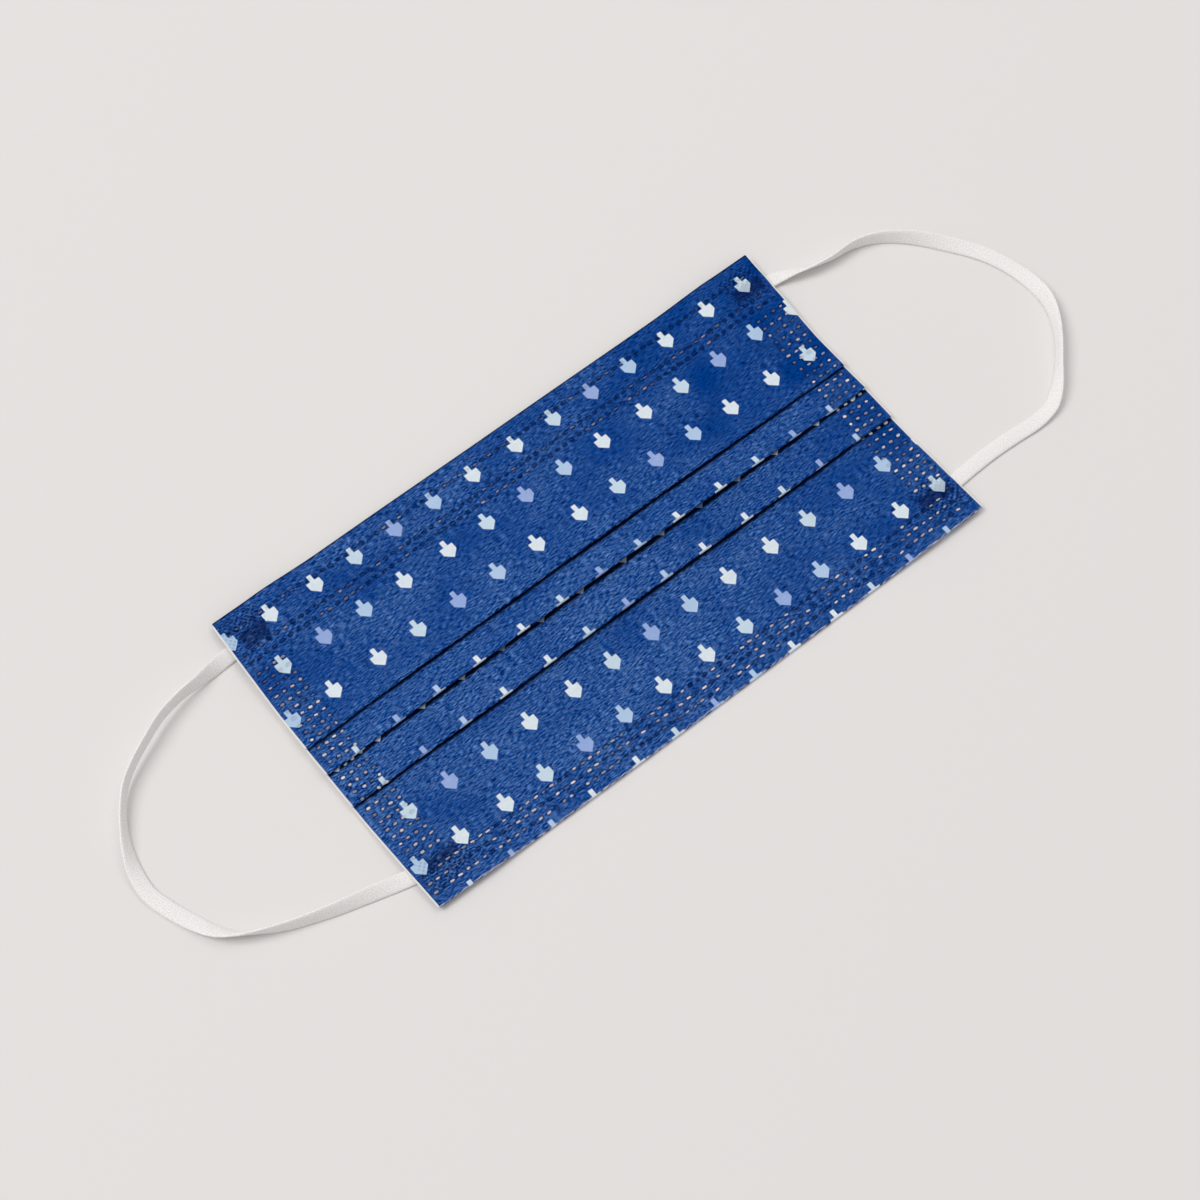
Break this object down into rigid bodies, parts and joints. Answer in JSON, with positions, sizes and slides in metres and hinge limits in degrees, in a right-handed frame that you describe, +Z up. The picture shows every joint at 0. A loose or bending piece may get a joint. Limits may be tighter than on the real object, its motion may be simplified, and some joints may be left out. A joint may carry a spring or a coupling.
{
  "type": "surgical face mask",
  "caption": "Pleated nonwoven face mask lying flat, with turned hems, a nose wire in its channel and elastic ear loops welded at the corners.",
  "frame": {"origin": "under the middle of the mask without its ear loops, on the surface that it lies on", "axes": "+X along the nose edge, +Y to the nose edge, +Z up through the printed side"},
  "size_m": [0.2873, 0.0958, 0.0073],
  "materials": {
    "printed_nonwoven": "matt spunbond, printed",
    "white_nonwoven": "matt spunbond",
    "coated_wire": "white plastic coating",
    "white_elastic": "matt knitted elastic"
  },
  "bodies": {
    "root": {"outer_ply": "printed_nonwoven", "inner_ply": "white_nonwoven", "nose_wire": "coated_wire", "ear_loop_left": "white_elastic", "ear_loop_right": "white_elastic"}
  },
  "joints": []
}
